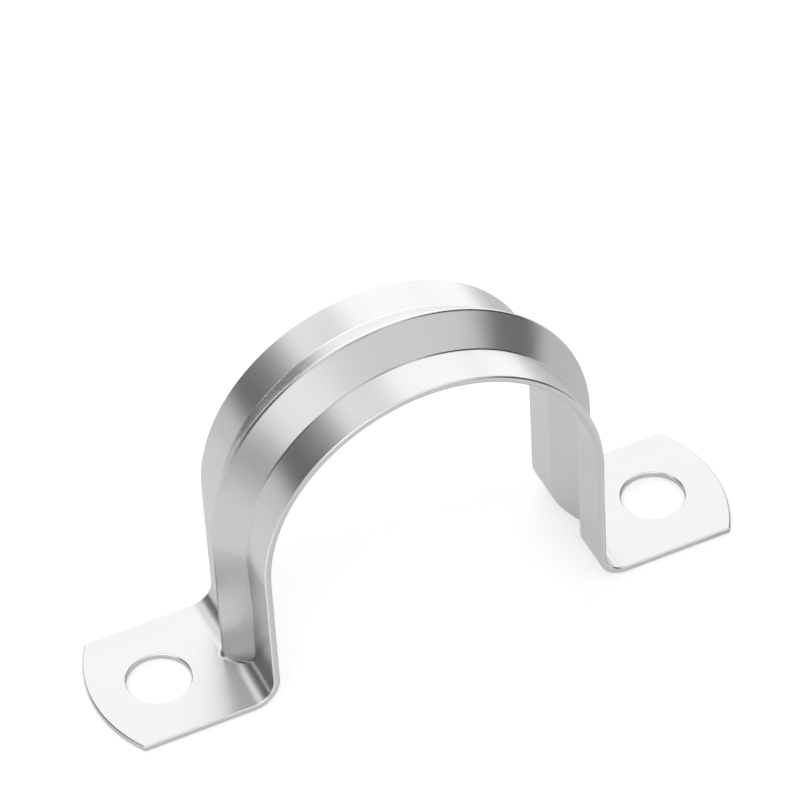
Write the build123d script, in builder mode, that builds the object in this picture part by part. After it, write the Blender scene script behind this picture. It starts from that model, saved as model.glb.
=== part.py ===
"""Two-hole conduit strap, pressed and bent from one piece of sheet steel.

Millimetres, +Z up. The origin is on the surface that the strap is screwed to,
midway between the screw holes. +X runs along the strap and +Y along the conduit.
"""
from build123d import *
import os
from math import atan2, tan

os.makedirs("parts", exist_ok=True)

# Sheet and outline
sheet_thickness = 0.77
strap_width = 17.0
overall_length = 75.4
foot_end_radius = 15.8
foot_corner_radius = 0.3
edge_chamfer = 0.12

# Arch, legs and the bends at their feet
conduit_radius = 19.2
arch_centre_height = 17.9
foot_bend_radius = 2.5

# Stiffening rib, a V pressed outwards along the middle of the band
rib_width = 7.56
rib_peak_height = 2.6
rib_crest_radius = 0.55
rib_inner_crest_radius = 0.2
rib_root_radius = 0.4
rib_inner_root_radius = 0.4

# Screw holes
hole_spacing = 60.0
hole_diameter = 7.14

# Sizes that follow from those above
outer_radius = conduit_radius + sheet_thickness
rib_slope = atan2(rib_peak_height, rib_width / 2)


def plain_band(depth):
    """Solid space under the band without its rib, up to a face at this depth in the sheet.

    It is a little wider, longer and deeper than the strap, and is trimmed later.
    """
    radius = outer_radius - depth
    bend = foot_bend_radius + depth
    foot = sheet_thickness - depth
    spare = 1 + depth
    with BuildPart() as band:
        with BuildSketch(Plane.XZ):
            with BuildLine():
                CenterArc((0, arch_centre_height), radius, 0, 90)
                Line((radius, arch_centre_height), (radius, foot + bend))
                CenterArc((radius + bend, foot + bend), bend, 180, 90)
                Polyline(
                    (radius + bend, foot),
                    (overall_length / 2 + spare, foot),
                    (overall_length / 2 + spare, -spare),
                    (0, -spare),
                )
                mirror(about=Plane.YZ)
            make_face()
        extrude(amount=strap_width / 2 + spare, both=True)
    return band.part


def rib_ridge(depth, crest_radius):
    """The rib alone, as a ridge over the arch and straight down both legs."""
    base = outer_radius - depth
    half_width = rib_width / 2 - depth * tan(rib_slope / 2)
    peak = half_width * tan(rib_slope)
    sunk = 1.0
    with BuildPart() as ridge:
        with BuildSketch(Plane.XY.offset(arch_centre_height)) as section:
            with BuildLine():
                Polyline(
                    (base - sunk, -half_width - sunk / tan(rib_slope)),
                    (base + peak, 0),
                    (base - sunk, half_width + sunk / tan(rib_slope)),
                    close=True,
                )
            make_face()
            fillet(section.vertices().sort_by(Axis.X)[-1], radius=crest_radius)
        revolve(axis=Axis((0, 0, arch_centre_height), (0, -1, 0)), revolution_arc=180)
        with BuildSketch(Plane.XY.offset(arch_centre_height)):
            add(section.sketch)
            mirror(section.sketch, about=Plane.YZ)
        extrude(amount=-arch_centre_height - 0.5)
    return ridge.part


# Outer face, with the rib's root rounded along the arch, down the legs and round its feet
with BuildPart() as outer_form:
    add(plain_band(0))
    add(rib_ridge(0, rib_crest_radius))
    fillet(outer_form.edges(Select.NEW), radius=rib_root_radius)

# Inner face, one sheet thickness in, with the crisp folds that the punch leaves along its channel
with BuildPart() as inner_form:
    add(plain_band(sheet_thickness))
    add(rib_ridge(sheet_thickness, rib_inner_crest_radius))
    fillet(inner_form.edges(Select.NEW), radius=rib_inner_root_radius)

# The sheet between the two faces, cut to its outline and pierced
with BuildPart() as strap:
    add(outer_form.part)
    add(inner_form.part, mode=Mode.SUBTRACT)
    with BuildSketch(Plane.XY.offset(-1)) as outline:
        SlotOverall(overall_length, 2 * foot_end_radius)
        Rectangle(overall_length, strap_width, mode=Mode.INTERSECT)
        fillet(outline.vertices(), radius=foot_corner_radius)
    extrude(amount=arch_centre_height + 2 * outer_radius, mode=Mode.INTERSECT)
    with Locations((hole_spacing / 2, 0, sheet_thickness), (-hole_spacing / 2, 0, sheet_thickness)):
        Hole(hole_diameter / 2)

    # Sheared edges, slightly broken: both sides, the foot ends and the hole rims
    low = strap.faces().filter_by(lambda face: face.bounding_box().max.Z < sheet_thickness + 0.001)
    upright = low.filter_by(GeomType.CYLINDER).edges()
    sides = strap.faces().filter_by(Axis.Y).edges()
    rims = ShapeList(set(sides + upright.filter_by(GeomType.CIRCLE)) - set(upright.filter_by(GeomType.LINE)))
    chamfer(rims, length=min(edge_chamfer, 0.45 * sheet_thickness))

strap.part.label = "strap"
export_step(strap.part, "parts/strap.step")
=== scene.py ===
# %% [markdown]
# # A conduit strap in zinc-plated steel
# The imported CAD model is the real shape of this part: one strip of sheet steel, pressed into an arch with a
# V-section rib. Nothing is modelled again here. This lesson gives that shape its camera, its light and its finish.
# Everything is in metres, and the strap stands where the CAD put it, with its feet on z = 0.

# %% Load the strap
import math
import bmesh
import bpy
from mathutils import Matrix, Vector

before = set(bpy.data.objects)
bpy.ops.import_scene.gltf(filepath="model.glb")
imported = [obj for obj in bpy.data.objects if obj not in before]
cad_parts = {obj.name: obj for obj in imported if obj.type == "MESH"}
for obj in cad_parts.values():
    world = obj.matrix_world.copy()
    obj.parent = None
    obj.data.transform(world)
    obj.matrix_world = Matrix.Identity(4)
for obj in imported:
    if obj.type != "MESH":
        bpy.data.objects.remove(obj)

scene = bpy.context.scene
scene.view_settings.view_transform = "Standard"
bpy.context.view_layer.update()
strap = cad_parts["strap"]

# %% [markdown]
# ## The camera
# A long lens from half a metre away keeps the two feet nearly the same size, as a catalogue picture does. The camera
# could be aimed with a Track To constraint, but the picture also leans by a few degrees, so its turn is built
# from three plain rotations: the compass angle, the height above the horizon, and the lean.

# %% Place the camera
camera_bearing, camera_height, camera_lean = -22.67, 44.045, -3.591
compass = Matrix.Rotation(math.radians(camera_bearing), 4, "Z")
tilt = Matrix.Rotation(math.radians(90 - camera_height), 4, "X")
lean = Matrix.Rotation(math.radians(camera_lean), 4, "Z")
turn = compass @ tilt @ lean
aim = Vector((0.005817, 0.013348, 0.015052))
distance = 0.54943

camera_data = bpy.data.cameras.new("camera")
camera_data.sensor_width = 36
camera_data.lens = 225.03
camera_data.clip_start = 0.01
camera_data.clip_end = 20
camera = bpy.data.objects.new("camera", camera_data)
camera.matrix_world = Matrix.Translation(aim + distance * (turn.to_3x3() @ Vector((0, 0, 1)))) @ turn
scene.collection.objects.link(camera)
scene.camera = camera
print("camera at", [round(v, 4) for v in camera.matrix_world.translation])

# %% [markdown]
# ## Small helpers for nodes
# A material is a graph. These helpers keep the cells below short: one adds a node and sets its values, one joins two
# sockets, and one starts a material with its output node.

# %% Node helpers
def add_node(tree, kind, settings=None, **inputs):
    """A new node of this kind, with these settings and with values on its inputs."""
    node = tree.nodes.new(kind)
    for name, value in (settings or {}).items():
        setattr(node, name, value)
    for name, value in inputs.items():
        node.inputs[name.replace("_", " ")].default_value = value
    return node


def join(tree, source, target):
    """A link from one socket to another."""
    tree.links.new(source, target)


def new_material(name):
    """An empty material, with its output node."""
    material = bpy.data.materials.new(name)
    material.use_nodes = True
    material.node_tree.nodes.clear()
    output = add_node(material.node_tree, "ShaderNodeOutputMaterial")
    return material, material.node_tree, output


# %% [markdown]
# ## The studio
# Bare metal has almost no colour of its own: it shows the room. A photographer of metal puts up large soft boxes, for
# the bright faces, and dark flags, whose reflections draw the form. They could be glowing panels round the strap, but
# a panel can get in the way when the camera moves. Here they are painted on the sky instead, where their edges fade
# out as a soft box does. Each one is laid over what is there already, like a sheet of paper. They say where they are
# as a photographer would: a bearing round the strap, with 0 at +Y and 90 at +X, and a height above the horizon.

# %% One soft box as a node group
def new_group(name, inputs, outputs):
    """An empty node group, with its input and output nodes."""
    group = bpy.data.node_groups.new(name, "ShaderNodeTree")
    for label, kind, value in inputs:
        socket = group.interface.new_socket(label, in_out="INPUT", socket_type=kind)
        if value is not None:
            socket.default_value = value
    for label, kind in outputs:
        group.interface.new_socket(label, in_out="OUTPUT", socket_type=kind)
    return group, add_node(group, "NodeGroupInput"), add_node(group, "NodeGroupOutput")


def maths(tree, operation, *values):
    """A Math node on numbers and sockets, and what it puts out."""
    node = add_node(tree, "ShaderNodeMath", {"operation": operation})
    for value, target in zip(values, node.inputs):
        if isinstance(value, bpy.types.NodeSocket):
            join(tree, value, target)
        else:
            target.default_value = value
    return node.outputs[0]


number = "NodeSocketFloat"
soft_box, given, result = new_group(
    "soft_box",
    [
        ("Behind", number, 1), ("Bearing", number, 0), ("Height", number, 0),
        ("Middle Bearing", number, 0), ("Half Width", number, 30), ("Width Fade", number, 10),
        ("Middle Height", number, 30), ("Half Height", number, 20), ("Height Fade", number, 10),
        ("Strength", number, 1),
    ],
    [("Brightness", number)],
)
across = maths(soft_box, "SUBTRACT", given.outputs["Bearing"], given.outputs["Middle Bearing"])
across = maths(soft_box, "WRAP", across, 180, -180)
above = maths(soft_box, "SUBTRACT", given.outputs["Height"], given.outputs["Middle Height"])
inside = []
for offset, half, fade in ((across, "Half Width", "Width Fade"), (above, "Half Height", "Height Fade")):
    edge = maths(soft_box, "SUBTRACT", given.outputs[half], maths(soft_box, "ABSOLUTE", offset))
    step = add_node(soft_box, "ShaderNodeMapRange", {"interpolation_type": "SMOOTHSTEP"})
    join(soft_box, edge, step.inputs["Value"])
    join(soft_box, given.outputs[fade], step.inputs["From Max"])
    inside.append(step.outputs["Result"])
blend = add_node(soft_box, "ShaderNodeMix", {"data_type": "FLOAT"})
join(soft_box, maths(soft_box, "MULTIPLY", *inside), blend.inputs["Factor"])
join(soft_box, given.outputs["Behind"], blend.inputs["A"])
join(soft_box, given.outputs["Strength"], blend.inputs["B"])
join(soft_box, blend.outputs["Result"], result.inputs["Brightness"])
print("soft_box takes", len(given.outputs) - 1, "values")

# %% [markdown]
# The room itself is light grey from the horizon up, and darker below it. In front is a wide soft box for the strap's
# cut edge, behind are brighter ones for the tops of the arch and the feet, and dark flags stand left and right. The
# far slope of the rib shows the sky on a second bounce, off the far flange, so it has a box and a flag of its own. A
# narrow rim light draws the thin bright lines along the far fold and the crest.

# %% The room and its lights
def lay_panels(tree, brightness, bearing, height, panels):
    """Soft boxes and flags, each laid over those before it, and the brightness that they leave."""
    for name, place, width, rise, strength in panels:
        panel = add_node(tree, "ShaderNodeGroup", {"node_tree": soft_box, "name": name})
        for label, value in zip(
            ("Middle Bearing", "Half Width", "Width Fade", "Middle Height", "Half Height", "Height Fade", "Strength"),
            (place, *width, *rise, strength),
        ):
            panel.inputs[label].default_value = value
        join(tree, brightness, panel.inputs["Behind"])
        join(tree, bearing, panel.inputs["Bearing"])
        join(tree, height, panel.inputs["Height"])
        brightness = panel.outputs["Brightness"]
    return brightness


world = bpy.data.worlds.new("studio")
scene.world = world
world.use_nodes = True
room = world.node_tree
room.nodes.clear()
looking = add_node(room, "ShaderNodeSeparateXYZ")
join(room, add_node(room, "ShaderNodeTexCoord").outputs["Generated"], looking.inputs[0])
bearing = maths(room, "DEGREES", maths(room, "ARCTAN2", looking.outputs["X"], looking.outputs["Y"]))
level = maths(room, "DEGREES", maths(room, "ARCSINE", looking.outputs["Z"]))
wall = add_node(
    room, "ShaderNodeMapRange", {"interpolation_type": "SMOOTHSTEP"},
    From_Min=-40, From_Max=1, To_Min=0.46, To_Max=0.88,
)
join(room, level, wall.inputs["Value"])

# Name, bearing, (half width, fade), (height, half height, fade) in degrees, and strength
brightness = lay_panels(room, wall.outputs["Result"], bearing, level, (
    ("front_box", -122, (60, 25), (39, 23, 14), 1.18),
    ("horizon", -165, (96, 37), (7, 22, 22), 0.48),
    ("left_flag", -65, (43, 31), (25, 29, 14), 0.06),
    ("low_left_flag", -12, (26, 13), (1, 24, 7), 0.05),
    ("right_flag", 72.5, (29, 13.5), (31, 39.5, 12), 0.05),
    ("low_right_flag", 126, (43, 24), (3, 31, 15), 0.05),
    ("tall_back_box", 19, (24, 13), (13, 51, 10.5), 1.39),
    ("high_back_box", 8.7, (45, 10.7), (32, 16.5, 13), 1.48),
    ("low_back_box", 24.6, (37.5, 8.5), (9.3, 18.2, 7), 1.48),
    ("slope_box", 16, (24, 10), (20, 9, 6), 1.8),
    ("top_flag", 0, (181, 1), (90, 16, 8), 0.3),
    ("slope_flag", -27.5, (15, 5), (-12, 16, 5), 0.05),
    ("rim_light", -10, (8, 5), (-8, 10, 6), 2.4),
))
sky = add_node(room, "ShaderNodeBackground", Color=(1, 1, 1, 1))
join(room, brightness, sky.inputs["Strength"])
join(room, sky.outputs["Background"], add_node(room, "ShaderNodeOutputWorld").inputs["Surface"])
print("lights in the room:", len([node for node in room.nodes if node.type == "GROUP"]))

# %% [markdown]
# ## The floor
# The strap stands on a small round table in a wide floor, both of the same pale paint, which takes its shadow. A
# little light of their own, which only the camera and the metal see, brings them up to plain white. The metal sees the
# table, but past its rim it sees the room and not the floor, so the lights near the horizon show in the bends. Ray
# visibility, in the object's settings, does that. The metal also sees the table's right-hand side, and a patch at its
# back left, dimmer than the rest. Those are panels too, with distances from the middle in place of heights.

# %% Pale floor
camera_glow, metal_glow = 0.5, 0.24
pale_paint, tree, output = new_material("pale_paint")
paint = add_node(tree, "ShaderNodeBsdfDiffuse", Color=(0.8, 0.8, 0.8, 1))
lift = add_node(tree, "ShaderNodeEmission", Color=(1, 1, 1, 1))
rays = add_node(tree, "ShaderNodeLightPath")
mirrors = maths(tree, "MAXIMUM", rays.outputs["Is Glossy Ray"], rays.outputs["Is Transmission Ray"])
for_camera = maths(tree, "MULTIPLY", rays.outputs["Is Camera Ray"], camera_glow)
spot = add_node(tree, "ShaderNodeTexCoord").outputs["Object"]
sides = add_node(tree, "ShaderNodeSeparateXYZ")
join(tree, spot, sides.inputs[0])
around = maths(tree, "DEGREES", maths(tree, "ARCTAN2", sides.outputs["X"], sides.outputs["Y"]))
away = add_node(tree, "ShaderNodeVectorMath", {"operation": "LENGTH"})
join(tree, spot, away.inputs[0])
millimetres = maths(tree, "MULTIPLY", away.outputs["Value"], 1000)
glow = add_node(tree, "ShaderNodeValue")
glow.outputs[0].default_value = metal_glow
# The same columns as above, with distances in millimetres in place of heights
seen = lay_panels(tree, glow.outputs[0], around, millimetres, (
    ("right_shade", 85, (50, 12), (80, 50, 8), 0.06),
    ("back_left_shade", -35, (12, 5), (95, 38, 10), 0.04),
))
join(tree, maths(tree, "MULTIPLY_ADD", mirrors, seen, for_camera), lift.inputs["Strength"])
both = add_node(tree, "ShaderNodeAddShader")
join(tree, paint.outputs[0], both.inputs[0])
join(tree, lift.outputs[0], both.inputs[1])
join(tree, both.outputs[0], output.inputs["Surface"])

table_radius, floor_radius, rim_steps = 0.12, 6, 96
top = -0.0001  # just under the feet
for name, inner, outer in (("table", 0, table_radius), ("floor", table_radius, floor_radius)):
    shape = bmesh.new()
    if inner:
        ends = [shape.verts.new((r, 0, top)) for r in (inner, outer)]
        edge = shape.edges.new(ends)
        bmesh.ops.spin(shape, geom=[*ends, edge], axis=(0, 0, 1), angle=math.tau, steps=rim_steps, use_merge=True)
        bmesh.ops.recalc_face_normals(shape, faces=shape.faces)
    else:
        bmesh.ops.create_circle(shape, cap_ends=True, segments=rim_steps, radius=outer)
        bmesh.ops.translate(shape, verts=shape.verts, vec=(0, 0, top))
    mesh = bpy.data.meshes.new(name)
    shape.to_mesh(mesh)
    shape.free()
    mesh.materials.append(pale_paint)
    sheet = bpy.data.objects.new(name, mesh)
    if inner:
        sheet.visible_glossy = sheet.visible_transmission = sheet.visible_shadow = False
    scene.collection.objects.link(sheet)
    print(name, "is", round(max(sheet.dimensions), 2), "m across with", len(mesh.polygons), "faces")

# %% [markdown]
# ## The strip before it was bent
# The strap was a flat strip, and its rolling streaks still run along it, round the arch and out to the feet. To lay
# them so, this group works out where each point was on the flat blank, in metres: how far along from the middle, how
# far across, and how deep in the sheet. Each straight or bent run adds its share of the length, and stops at its end.
# The sizes are those of the CAD part.

# %% Unbend the strip
inner_radius, arch_height, thickness, bend_height = 0.0192, 0.0179, 0.00077, 0.00327
bend_centre = inner_radius + bend_height
vector = "NodeSocketVector"


def distance_from_zero(tree, first, second):
    """The distance of a point from the origin, from its two coordinates."""
    return maths(tree, "SQRT", maths(tree, "MULTIPLY_ADD", first, first, maths(tree, "MULTIPLY", second, second)))


blank, given, result = new_group("flat_blank", [("Position", vector, None)], [("Flat", vector)])
place = add_node(blank, "ShaderNodeSeparateXYZ")
join(blank, given.outputs["Position"], place.inputs[0])
up = place.outputs["Z"]
out = maths(blank, "ABSOLUTE", place.outputs["X"])
over = maths(blank, "MAXIMUM", maths(blank, "SUBTRACT", up, arch_height), 0)
short = maths(blank, "SUBTRACT", bend_centre, maths(blank, "MINIMUM", out, bend_centre))
down = maths(blank, "SUBTRACT", bend_height, maths(blank, "MINIMUM", up, bend_height))
runs = [
    maths(blank, "MULTIPLY", maths(blank, "ARCTAN2", out, over), inner_radius + thickness / 2),
    maths(blank, "MAXIMUM", maths(blank, "SUBTRACT", arch_height, maths(blank, "MAXIMUM", up, bend_height)), 0),
    maths(blank, "MULTIPLY", maths(blank, "ARCTAN2", down, short), bend_height - thickness / 2),
    maths(blank, "MAXIMUM", maths(blank, "SUBTRACT", out, bend_centre), 0),
]
along = runs[0]
for run in runs[1:]:
    along = maths(blank, "ADD", along, run)
depth = add_node(blank, "ShaderNodeMix", {"data_type": "FLOAT"})
join(blank, maths(blank, "GREATER_THAN", up, arch_height), depth.inputs["Factor"])
join(blank, maths(blank, "SUBTRACT", bend_height, distance_from_zero(blank, short, down)), depth.inputs["A"])
join(blank, maths(blank, "SUBTRACT", distance_from_zero(blank, out, over), inner_radius), depth.inputs["B"])
flat = add_node(blank, "ShaderNodeCombineXYZ")
join(blank, maths(blank, "MULTIPLY", along, maths(blank, "SIGN", place.outputs["X"])), flat.inputs["X"])
join(blank, place.outputs["Y"], flat.inputs["Y"])
join(blank, depth.outputs["Result"], flat.inputs["Z"])
join(blank, flat.outputs["Vector"], result.inputs["Flat"])
print("flat_blank has", len(blank.nodes), "nodes")

# %% [markdown]
# ## Streaks and clouds
# Noise stretched along the strip makes the streaks that the rolls leave: each is about 0.3 mm wide and many times as
# long. The same group, with a length equal to its width, makes the soft clouds of uneven zinc.

# %% Stretched noise
streaks, given, result = new_group(
    "stretched_noise",
    [("Place", vector, None), ("Length", number, 0.02), ("Width", number, 0.0003), ("Detail", number, 3)],
    [("Value", number)],
)
scale = add_node(streaks, "ShaderNodeCombineXYZ")
join(streaks, given.outputs["Length"], scale.inputs["X"])
join(streaks, given.outputs["Width"], scale.inputs["Y"])
join(streaks, given.outputs["Width"], scale.inputs["Z"])
stretched = add_node(streaks, "ShaderNodeVectorMath", {"operation": "DIVIDE"})
join(streaks, given.outputs["Place"], stretched.inputs[0])
join(streaks, scale.outputs["Vector"], stretched.inputs[1])
noise = add_node(streaks, "ShaderNodeTexNoise", Scale=1, Roughness=0.6)
join(streaks, stretched.outputs["Vector"], noise.inputs["Vector"])
join(streaks, given.outputs["Detail"], noise.inputs["Detail"])
join(streaks, noise.outputs["Fac"], result.inputs["Value"])
print("stretched_noise has", len(streaks.nodes), "nodes")

# %% [markdown]
# ## Sheared edges
# The press shears the outline and the holes out of the sheet. A cut face is smooth near the outer face, where the
# punch slid past, and torn from there to the inner face, and both parts carry fine lines in the direction of the cut.
# A painted highlight lies along the outer corner of the cut: a bright line where the rounded corner would catch the
# light.
# The group finds the cut by its place on the flat blank: past the sides, or on a foot between the two faces of the
# sheet. It could read the direction of the surface instead, but the slopes of the rib turn that way too.

# %% Marks of the press, and a painted highlight
edge_break, half_strip, line_width, line_stretch = 0.00012, 0.0085, 0.00012, 0.08
foot_start = (inner_radius + bend_height) * math.pi / 2 + arch_height - bend_height
sheared, given, result = new_group(
    "sheared_edge", [("Flat", vector, None)], [("Painted Highlight", number), ("Torn", number), ("Lines", number)]
)
place = add_node(sheared, "ShaderNodeSeparateXYZ")
join(sheared, given.outputs["Flat"], place.inputs[0])
depth = place.outputs["Z"]
from_middle = maths(sheared, "ABSOLUTE", maths(sheared, "SUBTRACT", depth, thickness / 2))


def ramp(tree, value, low, high, to_low=0, to_high=1):
    """A soft step from one value to another as the input goes from low to high."""
    step = add_node(tree, "ShaderNodeMapRange", {"interpolation_type": "SMOOTHSTEP"})
    for label, size in (("From Min", low), ("From Max", high), ("To Min", to_low), ("To Max", to_high)):
        step.inputs[label].default_value = size
    join(tree, value, step.inputs["Value"])
    return step.outputs["Result"]


flat_edge, soft, thin = half_strip - edge_break, 0.00003, 0.000005
side = ramp(sheared, maths(sheared, "ABSOLUTE", place.outputs["Y"]), flat_edge - soft, flat_edge + soft)
on_foot = maths(sheared, "GREATER_THAN", maths(sheared, "ABSOLUTE", place.outputs["X"]), foot_start)
within = ramp(sheared, from_middle, thickness / 2 - soft, thickness / 2 - thin, 1, 0)
cut = maths(sheared, "MAXIMUM", side, maths(sheared, "MULTIPLY", within, on_foot))

# The painted highlight: a thin band at the outer face, where the rounding of the cut's corner would catch the light
painted_highlight_band = ramp(sheared, depth, thickness - edge_break - soft, thickness - edge_break + soft)
fine = add_node(sheared, "ShaderNodeGroup", {"node_tree": streaks})
turned = add_node(sheared, "ShaderNodeVectorMath", {"operation": "MULTIPLY"})
turned.inputs[1].default_value = (1, 1, line_stretch)
join(sheared, given.outputs["Flat"], turned.inputs[0])
join(sheared, turned.outputs["Vector"], fine.inputs["Place"])
fine.inputs["Length"].default_value = fine.inputs["Width"].default_value = line_width
ragged = maths(sheared, "MULTIPLY_ADD", fine.outputs["Value"], 0.2 * thickness, depth)
torn = ramp(sheared, ragged, 0.5 * thickness, 0.62 * thickness, 1, 0)
between = ramp(sheared, from_middle, 0.25 * thickness, 0.4 * thickness, 1, 0)
lines = maths(sheared, "MULTIPLY", maths(sheared, "SUBTRACT", fine.outputs["Value"], 0.5), between)
join(sheared, maths(sheared, "MULTIPLY", cut, painted_highlight_band), result.inputs["Painted Highlight"])
join(sheared, maths(sheared, "MULTIPLY", cut, torn), result.inputs["Torn"])
join(sheared, maths(sheared, "MULTIPLY", cut, lines), result.inputs["Lines"])
print("a foot starts", round(1000 * foot_start, 2), "mm along the blank")

# %% [markdown]
# ## Zinc-plated sheet
# The finish is a thin coat of bright zinc over cold-rolled steel: light grey metal, satin rather than mirror. Streaks
# and clouds change its tone by one or two parts in a hundred and its roughness by a little more, because the coat is
# new and clean. The Bevel node rounds the facets of the fold lines, and the Bump node adds streaks about three
# thousandths of a millimetre deep.

# %% Zinc finish
zinc, tree, output = new_material("zinc_plate")
surface = add_node(tree, "ShaderNodeBsdfPrincipled", Metallic=1.0)
position = add_node(tree, "ShaderNodeTexCoord").outputs["Object"]
unbent = add_node(tree, "ShaderNodeGroup", {"node_tree": blank})
join(tree, position, unbent.inputs["Position"])
press = add_node(tree, "ShaderNodeGroup", {"node_tree": sheared})
join(tree, unbent.outputs["Flat"], press.inputs["Flat"])
patterns = {}
for name, source, length, width, detail in (
    ("streak", unbent.outputs["Flat"], 0.02, 0.0003, 3),
    ("band", unbent.outputs["Flat"], 0.06, 0.0016, 2),
    ("cloud", position, 0.007, 0.007, 3),
    ("mottle", position, 0.0006, 0.0006, 4),
):
    pattern = add_node(tree, "ShaderNodeGroup", {"node_tree": streaks, "name": name})
    join(tree, source, pattern.inputs["Place"])
    for label, value in (("Length", length), ("Width", width), ("Detail", detail)):
        pattern.inputs[label].default_value = value
    patterns[name] = pattern.outputs["Value"]


def weighted(tree, start, *shares):
    """A start value with a share of each pattern added to it."""
    total = start
    for pattern, share in shares:
        total = maths(tree, "MULTIPLY_ADD", pattern, share, total)
    return total


def tint(tree, factor, below, above):
    """A colour between two others."""
    mix = add_node(tree, "ShaderNodeMix", {"data_type": "RGBA"})
    join(tree, factor, mix.inputs["Factor"])
    # A Mix node has sockets for each kind of value: inputs 6 and 7 and output 2 are those for colours
    for colour, target in zip((below, above), mix.inputs[6:8]):
        if isinstance(colour, bpy.types.NodeSocket):
            join(tree, colour, target)
        else:
            target.default_value = colour
    return mix.outputs[2]


shade = weighted(
    tree, -0.5, (patterns["streak"], 0.6), (patterns["band"], 0.4), (patterns["cloud"], 0.7), (patterns["mottle"], 0.3)
)
coat = tint(tree, shade, (0.655, 0.659, 0.664, 1), (0.705, 0.705, 0.704, 1))
coat = tint(tree, press.outputs["Torn"], coat, (0.65, 0.652, 0.656, 1))
# Painted highlight: a near-white line along the outer corner of the cut, where its rounding would catch the light
coat = tint(tree, press.outputs["Painted Highlight"], coat, (0.92, 0.92, 0.92, 1))
join(tree, coat, surface.inputs["Base Color"])
roughness = weighted(
    tree, 0.21, (patterns["streak"], 0.03), (patterns["cloud"], 0.03), (patterns["mottle"], 0.02),
    (press.outputs["Torn"], 0.1), (press.outputs["Painted Highlight"], -0.05),
)
join(tree, roughness, surface.inputs["Roughness"])

rounded = add_node(tree, "ShaderNodeBevel", {"samples": 6}, Radius=0.00012)
relief = add_node(tree, "ShaderNodeBump", Distance=0.000003)
relief_height = weighted(tree, 0, (patterns["streak"], 1), (patterns["mottle"], 0.5), (press.outputs["Lines"], 3))
join(tree, relief_height, relief.inputs["Height"])
join(tree, rounded.outputs["Normal"], relief.inputs["Normal"])
join(tree, relief.outputs["Normal"], surface.inputs["Normal"])
join(tree, surface.outputs[0], output.inputs["Surface"])
for slot in strap.material_slots:
    slot.material = zinc
print("finish on", [slot.material.name for slot in strap.material_slots], "with", len(tree.nodes), "nodes")
